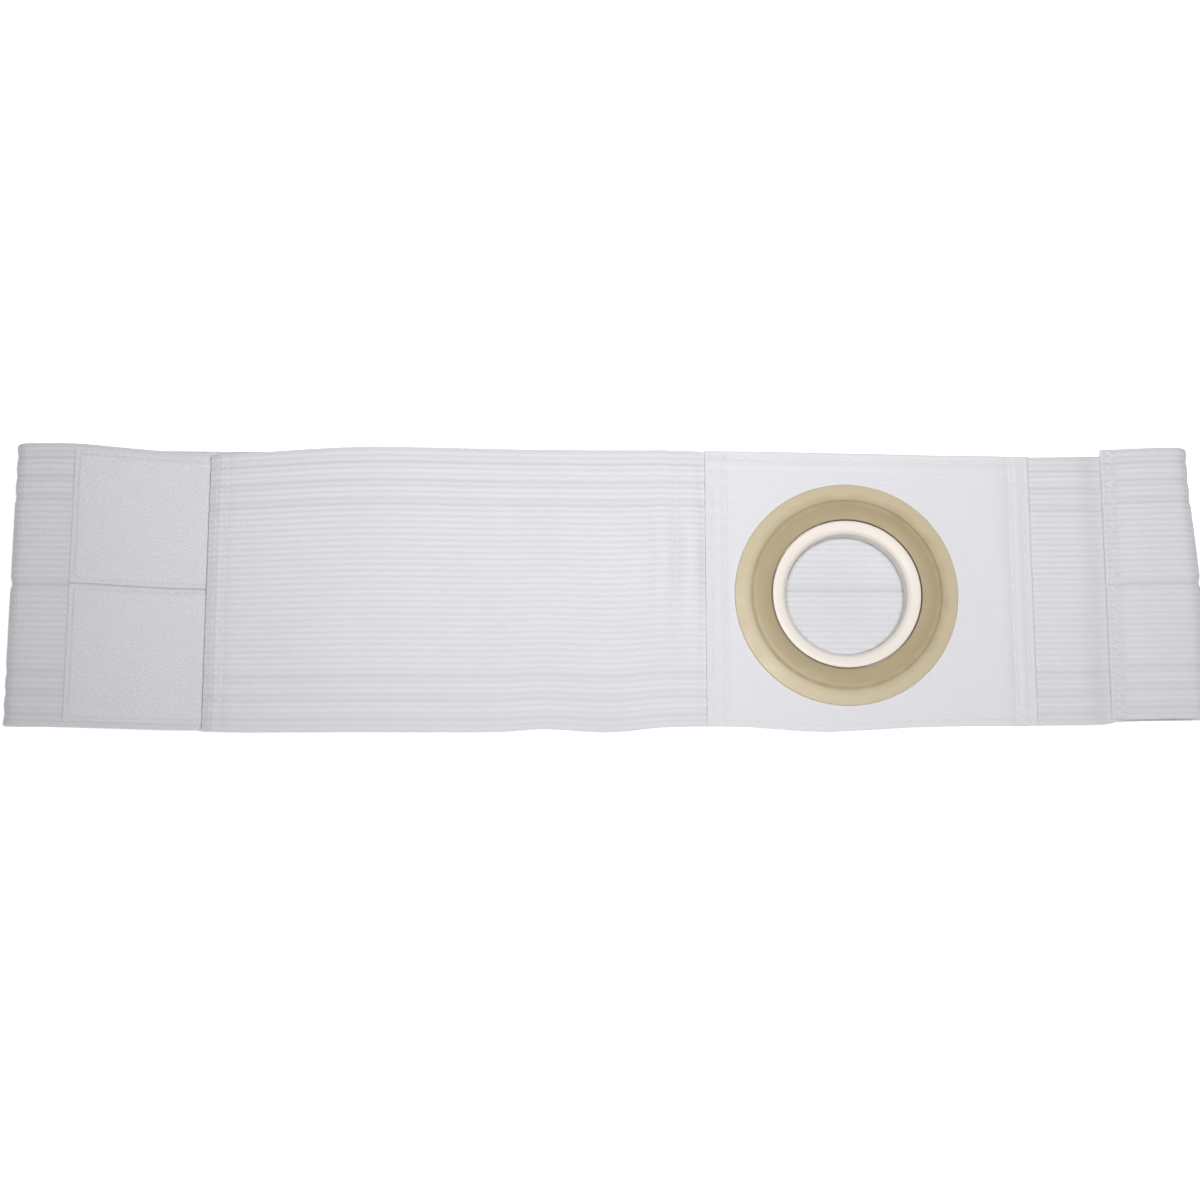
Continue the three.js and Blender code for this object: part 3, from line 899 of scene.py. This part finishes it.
class BELT_OT_make_panel(bpy.types.Operator):
    """Make the smooth cloth panel that carries the ring"""

    bl_idname = "belt.make_panel"
    bl_label = "Make Ring Panel"

    def execute(self, context):
        settings = context.scene.support_belt
        outline = panel_outline(PANEL_SIDE_STEPS)
        outline.append(outline[0])
        middle = Vector((RING_X, RING_Y))
        rim = [step / PANEL_REACH for step in RIM_STEPS]
        between = steps_between(rim[-1], 1 - rim[-1], 1 / PANEL_REACH_STEPS)[1:]
        shares = rim + between + [1 - step for step in reversed(rim)]

        def place(column, row, side):
            away = outline[column] - middle
            hole = away.normalized() * PANEL_HOLE_RADIUS
            x, y = middle + hole.lerp(away, shares[row])
            level, half, relief = panel_face(x, y)
            lift = half * (1 + relief / PANEL_HALF)
            return Vector((x, y, level + side * lift)), (x, y, relief)

        mesh = mesh_from("ring_panel_cloth", cloth_slab(len(outline), len(shares), place))
        panel = add_piece("ring_panel_cloth", mesh, panel_finish(settings), "panel_cloth", "ring_panel")
        return {"FINISHED"}


# Tapes


def tape_rows(length, step):
    """Places across a tape, close together in its selvedges."""
    return rimmed(length, (TAPE_RIM, TAPE_RIM_STEP), (length - TAPE_RIM, step), (length, TAPE_RIM_STEP))


def tape_slab(name, left, right, edges, low, high, face, finish, slot, node):
    """A tape between two levels with thin selvedges.

    edges(x) gives its lower and upper edge, and face is its rough side, 1 above or -1 below.
    """
    bottom, top = edges(left)
    along_step, across_step = TAPE_STEPS
    columns, rows = tape_rows(right - left, along_step), tape_rows(top - bottom, across_step)
    middle, half = (low + high) / 2, (high - low) / 2

    def place(column, row, side):
        x = left + columns[column]
        bottom, top = edges(x)
        y = bottom + (top - bottom) * rows[row] / rows[-1]
        inset = min(columns[column], columns[-1] - columns[column], rows[row], rows[-1] - rows[row])
        relief = -SELVEDGE_DROP * (1 - smooth_share(inset, TAPE_SELVEDGE - SELVEDGE_SLOPE, TAPE_SELVEDGE))
        relief += SELVEDGE_SEAM_SHARE * seam_relief(inset, (SELVEDGE_SEAM,))
        lift = side * rounded(inset, half) * (half + (relief if side == face else 0))
        return Vector((x, y, middle + lift)), (columns[column], rows[row], relief)

    mesh = mesh_from(name, cloth_slab(len(columns), len(rows), place))
    return add_piece(name, mesh, finish, slot, node)


def upper_tape_edges(x):
    """Lower and upper edge of the upper loop tape."""
    bottom, top = left_run_edges(x)
    return (bottom + top + TAPE_GAP) / 2, top - TAPE_MARGIN


def lower_tape_edges(x):
    """Lower and upper edge of the lower loop tape."""
    bottom, top = left_run_edges(x)
    return bottom + TAPE_MARGIN, (bottom + top - TAPE_GAP) / 2


def loop_path(share):
    """One loop of the pile: an arch that leans over."""
    angle = math.pi * share
    across = LOOP_TIP * math.sin(angle) - LOOP_HALF * math.cos(angle)
    return Vector((across, 0, LOOP_RISE * math.sin(angle) - LOOP_ROOT))


def hook_path(share):
    """One hook: a stem that bends over at its tip."""
    bend = HOOK_TURN * smooth_share(share, 0.45, 1.0)
    height = HOOK_STEM * min(share / 0.5, 1.0) + HOOK_TIP * math.sin(bend) - HOOK_ROOT
    return Vector((HOOK_BEND * (1 - math.cos(bend)), 0, height))


def pile_mesh(name, left, right, edges, level, spacing, rng):
    """Loops over a tape's face, in rows a spacing apart, each turned and moved a little."""
    places, tones = [], []
    bottom, top = edges(left)
    rows = steps_between(TAPE_SELVEDGE, top - bottom - TAPE_SELVEDGE, spacing)
    for x in steps_between(left + TAPE_SELVEDGE, right, spacing):
        bottom, _ = edges(x)
        for row in rows:
            aside = rng.uniform(-PILE_JITTER, PILE_JITTER)
            up = rng.uniform(-PILE_JITTER, PILE_JITTER)
            turn = Matrix.Rotation(rng.uniform(-PILE_TURN, PILE_TURN), 4, "Z")
            turn = turn @ Matrix.Rotation(rng.gauss(0, 0.5), 4, "X")
            point = Matrix.Translation((x + aside, bottom + row + up, level))
            places.append(point @ turn @ Matrix.Scale(rng.uniform(0.75, 1.15), 4))
            tones.append(rng.random())
    return scatter(name, thread_template(5, 3, LOOP_RADIUS, loop_path), places, tones)


class BELT_OT_make_tapes(bpy.types.Operator):
    """Make the two loop tapes with their pile and the hook tape with its hooks"""

    bl_idname = "belt.make_tapes"
    bl_label = "Make Fastening Tapes"

    def execute(self, context):
        settings = context.scene.support_belt
        backing = tape_finish(settings)
        pile = strand_finish("loop_pile", settings.pile_colour, 0.92, 3.0, 0.6, 0.4)
        filament = strand_finish("hook_filament", settings.tape_colour, 0.8, 0.0, 0.35)
        rng = random.Random(11)
        low = LOOP_LOW.z - TAPE_SINK
        face = low + TAPE_BASE
        for part, edges in (("upper", upper_tape_edges), ("lower", lower_tape_edges)):
            tape = tape_slab(
                f"loop_tape_{part}", TAPE_LEFT_X, TAPE_END_X, edges, low, face, 1, backing,
                "loop_tape", f"loop_patch_{part}",
            )
            spacing = settings.pile_spacing / MM
            mesh = pile_mesh(f"loop_pile_{part}", TAPE_LEFT_X, PILE_END_X, edges, face, spacing, rng)
            loops = add_piece(f"loop_pile_{part}", mesh, pile, "loop_tape")
            lean_normals(mesh, PILE_LEAN)
            bottom, top = edges(TAPE_LEFT_X)

        def hook_edges(x):
            return HOOK_LOW.y, HOOK_HIGH.y

        high = HOOK_HIGH.z + TAPE_SINK
        tape = tape_slab(
            "hook_tape", HOOK_LOW.x, HOOK_HIGH.x, hook_edges, high - HOOK_BASE, high, -1, backing,
            "hook_tape", "hook_patch",
        )
        spacing = settings.hook_spacing / MM
        places, tones = [], []
        flip = Matrix.Rotation(math.pi, 4, "X")
        for x in steps_between(HOOK_LOW.x + HOOK_INSET, HOOK_HIGH.x - HOOK_INSET / 2, spacing):
            for y in steps_between(HOOK_LOW.y + HOOK_INSET, HOOK_HIGH.y - HOOK_INSET / 2, spacing):
                turn = Matrix.Rotation(rng.choice((0, math.pi)), 4, "Z")
                places.append(Matrix.Translation((x, y, high - HOOK_BASE)) @ flip @ turn)
                tones.append(rng.random())
        mesh = scatter("hook_filaments", thread_template(6, 4, HOOK_RADIUS, hook_path), places, tones)
        hooks = add_piece("hook_filaments", mesh, filament, "hook_tape")
        loops = ["loop_patch_upper", "loop_patch_lower"]
        return {"FINISHED"}


# Ring


def turned_ring(name, profile, round_offset):
    """Spin a closed profile of (radius, height) round the ring's middle and round its sharp corners."""
    bm = bmesh.new()
    corners = [bm.verts.new(Vector((RING_X + radius, RING_Y, height)) * MM) for radius, height in profile]
    outline = [bm.edges.new((corner, corners[i - 1])) for i, corner in enumerate(corners)]
    bmesh.ops.spin(
        bm, geom=corners + outline, cent=Vector((RING_X, RING_Y, 0)) * MM, axis=(0, 0, 1),
        angle=2 * math.pi, steps=RING_STEPS, use_merge=True,
    )
    bmesh.ops.recalc_face_normals(bm, faces=bm.faces)
    sharp = [edge for edge in bm.edges if edge.calc_face_angle(0) > math.radians(20)]
    bmesh.ops.bevel(
        bm, geom=sharp, offset=round_offset * MM, affect="EDGES", segments=4, profile=0.5,
        material=-1, clamp_overlap=True,
    )
    close_shell(bm, 0.001 * MM)
    return mesh_from(name, bm)


class BELT_OT_make_ring(bpy.types.Operator):
    """Make the tan ring flange and the ivory collar"""

    bl_idname = "belt.make_ring"
    bl_label = "Make Ring"

    def execute(self, context):
        settings = context.scene.support_belt
        seat, crown = FLANGE_LOW.z - TAPE_SINK, FLANGE_HIGH.z
        skirt = FLANGE_LOW.z + FLANGE_SKIRT
        outer = FLANGE_HIGH.x - RING_X
        flange = [
            (FLANGE_INNER_RADIUS, seat),
            (outer, seat),
            (outer, skirt - FLANGE_CROWN),
            (FLANGE_STEP_RADIUS + FLANGE_FOOT, skirt),
            (FLANGE_STEP_RADIUS - FLANGE_SHOULDER, crown - FLANGE_CROWN),
            ((FLANGE_STEP_RADIUS + FLANGE_INNER_RADIUS) / 2, crown),
            (FLANGE_INNER_RADIUS, crown - FLANGE_CROWN),
        ]
        finish = plastic_finish("tan_plastic", settings.tan_colour, settings.tan_skirt_colour, *TAN_CHANGE)
        add_piece("tan_ring", turned_ring("tan_ring", flange, 0.42), finish, "tan_plastic", "ring_flange")

        low, lip = COLLAR_LOW.z, COLLAR_HIGH.z
        back = low + COLLAR_BACK_THICKNESS
        collar = [
            (COLLAR_INNER_RADIUS - COLLAR_FLARE, low),
            (COLLAR_HIGH.x - RING_X, low),
            (COLLAR_HIGH.x - RING_X, back),
            (COLLAR_TUBE_RADIUS, back),
            (COLLAR_TUBE_RADIUS, lip - COLLAR_RIM),
            (COLLAR_TUBE_RADIUS - COLLAR_LIP_OUT, lip),
            (COLLAR_INNER_RADIUS + COLLAR_LIP_IN, lip - COLLAR_LIP_DIP),
            (COLLAR_INNER_RADIUS + COLLAR_FLARE, lip - COLLAR_LIP_SLOPE),
        ]
        ivory = settings.ivory_colour
        finish = plastic_finish("ivory_plastic", shade(ivory, 0.97), shade(ivory, 1.03), *IVORY_CHANGE)
        mesh = turned_ring("ivory_collar", collar, 0.35)
        add_piece("ivory_collar", mesh, finish, "ivory_plastic", "ring_collar")
        return {"FINISHED"}


# Stitching


def stitch_place(point, ahead, normal, length):
    """Where one stitch goes: its middle, its direction and the cloth's normal."""
    ahead = ahead.normalized()
    aside = normal.cross(ahead).normalized()
    up = ahead.cross(aside)
    turn = Matrix((ahead * length, aside, up)).transposed().to_4x4()
    return Matrix.Translation(point) @ turn


def stitch_line(start, end, length, height):
    """Straight stitches from one (x, y) to another; height(x, y) is the cloth's face."""
    start, end = Vector(start), Vector(end)
    ahead = (end - start).normalized()
    count = max(round((end - start).length / length), 1)
    places = []
    for i in range(count):
        x, y = start.lerp(end, (i + 0.5) / count)
        before = height(x - ahead.x * STITCH_PROBE, y - ahead.y * STITCH_PROBE)
        after = height(x + ahead.x * STITCH_PROBE, y + ahead.y * STITCH_PROBE)
        direction = Vector((ahead.x, ahead.y, (after - before) / (2 * STITCH_PROBE)))
        point = Vector((x, y, height(x, y)))
        places.append(stitch_place(point, direction, Vector((0, 0, 1)), length * STITCH_FILL))
    return places


def cross_row(x, edges, inset, length, height):
    """Straight stitches across a piece at x, which stop an inset before both of its edges."""
    bottom, top = edges(x)
    return stitch_line((x, bottom + inset), (x, top - inset), length, height)


def edge_rows(edges, xs, inset, length, height):
    """Straight stitches along both long edges of a piece, an inset in from them, through the given places."""
    places = []
    for x, following in zip(xs, xs[1:]):
        for edge, sign in ((0, 1), (1, -1)):
            start = (x, edges(x)[edge] + sign * inset)
            end = (following, edges(following)[edge] + sign * inset)
            places += stitch_line(start, end, length, height)
    return places


def zigzag(start, end, width, pitch, height):
    """A zigzag row from one (x, y) to another, the given width across."""
    start, end = Vector(start), Vector(end)
    count = max(round((end - start).length / pitch), 1)
    aside = (end - start).normalized().orthogonal() * width / 2
    corners = [start.lerp(end, i / count) + aside * (1 if i % 2 else -1) for i in range(count + 1)]
    places = []
    for corner, following in zip(corners, corners[1:]):
        x, y = (corner + following) / 2
        step = following - corner
        point = Vector((x, y, height(x, y)))
        places.append(stitch_place(point, Vector((*step, 0)), Vector((0, 0, 1)), step.length * ZIGZAG_FILL))
    return places


def stitch_path(share):
    """One stitch of unit length: a low arch that dives into the cloth at both ends."""
    return Vector((share - 0.5, 0, STITCH_RISE * math.sin(math.pi * share) ** 0.6 - STITCH_ROOT))


class BELT_OT_make_stitching(bpy.types.Operator):
    """Make the rows of stitches on the panel, the closure, the lap and the loop tapes"""

    bl_idname = "belt.make_stitching"
    bl_label = "Make Stitching"

    def execute(self, context):
        settings = context.scene.support_belt
        finish = strand_finish("white_thread", settings.thread_colour, 0.78, 4.0, 0.5)
        length, radius = settings.stitch_length / MM, settings.thread_radius / MM
        rng = random.Random(5)

        def band_relief(y, edges):
            bottom, top = edges
            return rib_relief((y - bottom) / (top - bottom) * BAND_WIDTH, settings)

        def panel_top(x, y):
            level, _, relief = panel_face(x, y)
            return level + PANEL_HALF + relief

        def front_top(x, y):
            relief = band_relief(y, front_edges(x)) + seam_relief(x - CLOSURE_X, CLOSURE_SEAMS)
            return front_level(x, y) + ELASTIC_HALF + relief

        def lap_top(x, y):
            relief = band_relief(y, back_edges(x - LAP_EDGE_X)) + seam_relief(x - LAP_EDGE_X, LAP_SEAMS)
            return LAP_LEVEL - lap_press(x) + ELASTIC_HALF + relief

        def tape_top(x, y):
            return LOOP_LOW.z - TAPE_SINK + TAPE_BASE - SELVEDGE_DROP

        def sew(name, slot, places):
            tones = [rng.random() for _ in places]
            mesh = scatter(name, thread_template(6, 6, radius, stitch_path), places, tones)
            add_piece(name, mesh, finish, slot)
            lean_normals(mesh, THREAD_LEAN)

        places = []
        for seam in PANEL_SEAMS:
            for x in (PANEL_LOW.x + seam, PANEL_HIGH.x - seam):
                places += cross_row(x, panel_edges, PANEL_SEAM_INSET, length, panel_top)
        left, right = PANEL_LOW.x + PANEL_HEM_INSET, PANEL_HIGH.x - PANEL_HEM_INSET
        xs = steps_between(left, right, PANEL_HEM_STEP) + [right]
        places += edge_rows(panel_edges, xs, PANEL_SEAMS[0], length, panel_top)
        sew("panel_stitching", "panel_cloth", places)

        places = []
        for seam in CLOSURE_SEAMS:
            places += cross_row(CLOSURE_X + seam, front_edges, CLOSURE_SEAM_INSET, length, front_top)
        sew("closure_stitching", "elastic", places)

        bottom, top = back_edges(LAP_SEAMS[0])
        x = LAP_EDGE_X + LAP_SEAMS[0]
        low, high = (x, bottom + SHORT_SEAM_INSET), (x, top - SHORT_SEAM_INSET)
        sew("lap_stitching", "elastic", zigzag(low, high, *LAP_ZIGZAG, lap_top))

        places = []
        xs = steps_between(TAPE_LEFT_X + TAPE_EDGE_INSET, PILE_END_X, TAPE_EDGE_STEP) + [PILE_END_X]
        for edges in (upper_tape_edges, lower_tape_edges):
            bottom, top = edges(TAPE_LEFT_X)
            x = TAPE_LEFT_X + SELVEDGE_SEAM
            low, high = (x, bottom + SHORT_SEAM_INSET), (x, top - SHORT_SEAM_INSET)
            places += stitch_line(low, high, length, tape_top)
            places += edge_rows(edges, xs, SELVEDGE_SEAM, length, tape_top)
        sew("tape_stitching", "loop_tape", places)
        return {"FINISHED"}


# Stage


def add_light(name, energy, size, place, target, colour):
    """A soft square light at a place, aimed at a target; both in metres."""
    light = bpy.data.lights.new(name, "AREA")
    light.energy = energy
    light.size = size
    light.color = colour
    lamp = bpy.data.objects.new(name, light)
    lamp.location = place
    lamp.rotation_euler = (Vector(target) - Vector(place)).to_track_quat("-Z", "Y").to_euler()
    bpy.context.scene.collection.objects.link(lamp)


def floor_finish():
    """A white studio floor that glows a little, more so far away, as an overexposed sweep does."""
    finish = Finish.named("studio_floor", {"Emission Color": (1, 1, 1, 1)})
    place = finish.object_place(1)
    away = finish.add("VectorMath", {0: place}, "Value", operation="LENGTH")
    finish.link(finish.spread(away, *FLOOR_GLOW, *FLOOR_GLOW_REACH), "Emission Strength")
    grain = finish.noise(place, 3.0)
    colour = finish.blend(grain, (0.93, 0.93, 0.93), (0.95, 0.95, 0.95))
    return finish.finish(colour, finish.spread(grain, 0.85, 0.95), grain, 0.02, 0.1)


class BELT_OT_make_stage(bpy.types.Operator):
    """Make the white floor, the soft light and the camera"""

    bl_idname = "belt.make_stage"
    bl_label = "Make Stage"

    def execute(self, context):
        settings = context.scene.support_belt
        scene = context.scene
        bm = bmesh.new()
        bmesh.ops.create_grid(bm, x_segments=8, y_segments=8, size=FLOOR_HALF)
        floor = bpy.data.objects.new("studio_floor", mesh_from("studio_floor", bm))
        floor.data.transform(Matrix.Translation((0, 0, -FLOOR_DROP)))
        floor.data.materials.append(floor_finish())
        scene.collection.objects.link(floor)

        add_light("key_light", KEY_ENERGY, KEY_SIZE, KEY_PLACE, KEY_TARGET, KEY_COLOUR)

        world = bpy.data.worlds.new("studio_air")
        world.use_nodes = True
        scene.world = world
        air = Finish(world.node_tree, "Background", {"Color": AIR_COLOUR})
        _, _, up = air.split(air.add("TexCoord", {}, "Generated"))
        air.link(air.spread(up, *AIR_GLOW, *AIR_GLOW_REACH), "Strength")
        scene.view_settings.view_transform = "Standard"

        camera = bpy.data.objects.new("photo_camera", bpy.data.cameras.new("photo_camera"))
        camera.data.angle = CAMERA_ANGLE
        camera.data.clip_start = 0.01
        tilt = settings.camera_tilt
        away = Vector((0, -math.sin(tilt), math.cos(tilt))) * settings.camera_distance
        camera.location = CAMERA_TARGET * MM + away
        camera.rotation_euler = (tilt, 0, 0)
        scene.collection.objects.link(camera)
        scene.camera = camera
        return {"FINISHED"}


class BELT_PT_sidebar(bpy.types.Panel):
    """The belt's settings and the steps that make it"""

    bl_idname = "BELT_PT_sidebar"
    bl_label = "Ostomy Support Belt"
    bl_space_type = "VIEW_3D"
    bl_region_type = "UI"
    bl_category = "Belt"

    def draw(self, context):
        settings = context.scene.support_belt
        for name in BeltSettings.__annotations__:
            self.layout.prop(settings, name)
        for step in STEPS:
            self.layout.operator(step.bl_idname)


STEPS = (
    BELT_OT_make_elastics,
    BELT_OT_make_panel,
    BELT_OT_make_tapes,
    BELT_OT_make_ring,
    BELT_OT_make_stitching,
    BELT_OT_make_stage,
)
CLASSES = (BeltSettings, *STEPS, BELT_PT_sidebar)


def register():
    """Add the belt's classes and settings to Blender."""
    for cls in CLASSES:
        bpy.utils.register_class(cls)
    bpy.types.Scene.support_belt = bpy.props.PointerProperty(type=BeltSettings)


def unregister():
    """Take the belt's classes and settings out of Blender."""
    del bpy.types.Scene.support_belt
    for cls in reversed(CLASSES):
        bpy.utils.unregister_class(cls)


def main():
    """Make every piece and the stage."""
    register()
    bpy.ops.belt.make_elastics()
    bpy.ops.belt.make_panel()
    bpy.ops.belt.make_tapes()
    bpy.ops.belt.make_ring()
    bpy.ops.belt.make_stitching()
    bpy.ops.belt.make_stage()


if __name__ == "__main__":
    main()
